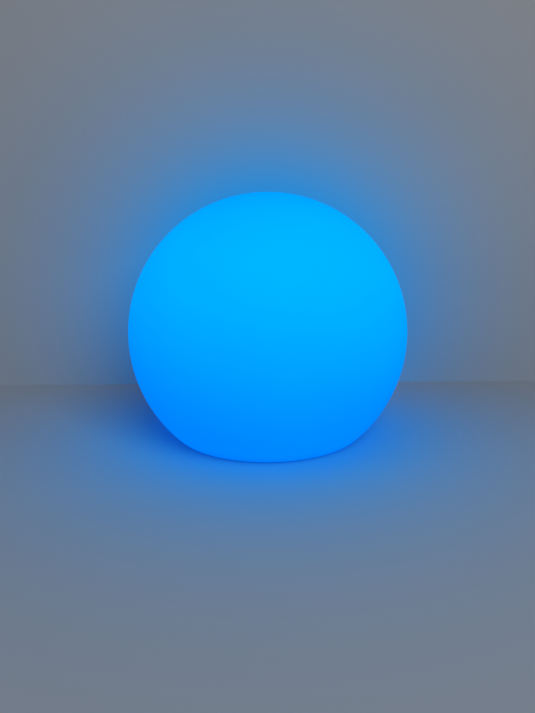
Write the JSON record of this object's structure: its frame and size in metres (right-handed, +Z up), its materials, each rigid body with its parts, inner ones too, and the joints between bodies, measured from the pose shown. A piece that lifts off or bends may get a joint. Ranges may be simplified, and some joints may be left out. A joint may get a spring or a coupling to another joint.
{
  "type": "garden globe light",
  "caption": "Flat-bottomed translucent ball light with a twist-in rechargeable lamp module, push button and charging socket in its base.",
  "frame": {"origin": "centre of the flat base, on the surface that the ball stands on", "axes": "+Z up along the ball's axis; the grip bar on the underside runs along Y, with the button towards -Y and the charging socket towards +Y"},
  "size_m": [0.2, 0.2, 0.1733],
  "materials": {
    "lit_shell": "matte translucent polyethylene lit blue from inside",
    "grey_plastic": "fine-textured light grey moulding",
    "white_plastic": "plain white moulding",
    "black_plastic": "matte black",
    "soft_silicone": "matte mid-grey silicone",
    "black_silicone": "matte black silicone",
    "clear_plastic": "clear moulded plastic",
    "board_green": "green solder mask",
    "aluminium": "bare satin",
    "steel": "zinc-plated",
    "brass": "plain brass",
    "led_white": "white package with clear window",
    "cell_wrap": "plain shrink wrap",
    "lead_red": "insulated lead",
    "lead_green": "insulated lead",
    "lead_blue": "insulated lead",
    "lead_white": "insulated lead"
  },
  "bodies": {
    "globe": {"globe_shell": "lit_shell", "shell_inserts": "brass", "ring_gasket": "black_silicone", "socket_ring": "grey_plastic", "ring_screws": "steel"},
    "lamp_module": {"module_base": "grey_plastic", "module_seal": "black_silicone", "control_board": "board_green", "driver_chip": "black_plastic", "choke_coil": "black_plastic", "buffer_capacitor": "aluminium", "tact_switch": "black_plastic", "status_led": "led_white", "status_light_pipe": "clear_plastic", "charge_socket": "black_plastic", "charge_pin": "brass", "socket_washer": "black_silicone", "bung_anchor": "soft_silicone", "battery_holder": "black_plastic", "battery_contacts": "steel", "battery_cell": "cell_wrap", "inner_frame": "white_plastic", "frame_screws": "steel", "led_plate": "aluminium", "led_chips": "led_white", "plate_screws": "steel", "ir_receiver": "black_plastic", "board_connector": "white_plastic", "led_connector": "white_plastic", "lead_red": "lead_red", "lead_green": "lead_green", "lead_blue": "lead_blue", "lead_white": "lead_white", "lens_gasket": "black_silicone", "lens_dome": "clear_plastic", "lens_screws": "steel"},
    "power_button": {"power_button": "soft_silicone", "button_seal": "black_silicone", "button_clip": "steel", "switch_plunger": "white_plastic"},
    "charge_bung": {"charge_bung": "soft_silicone"}
  },
  "joints": [
    {"name": "module_twist", "type": "hinge", "parent": "globe", "child": "lamp_module", "pos_m": [0, 0, 0], "axis": [0, 0, -1], "range_deg": [0, 30]},
    {"name": "button_press", "type": "slide", "parent": "lamp_module", "child": "power_button", "axis": [0, 0, 1], "range_m": [0, 0.0008], "stiffness_N_per_m": 1500},
    {"name": "bung_fold", "type": "hinge", "parent": "lamp_module", "child": "charge_bung", "pos_m": [0.0085, 0.026, 0.0015], "axis": [0, -1, 0], "range_deg": [0, 150]}
  ]
}
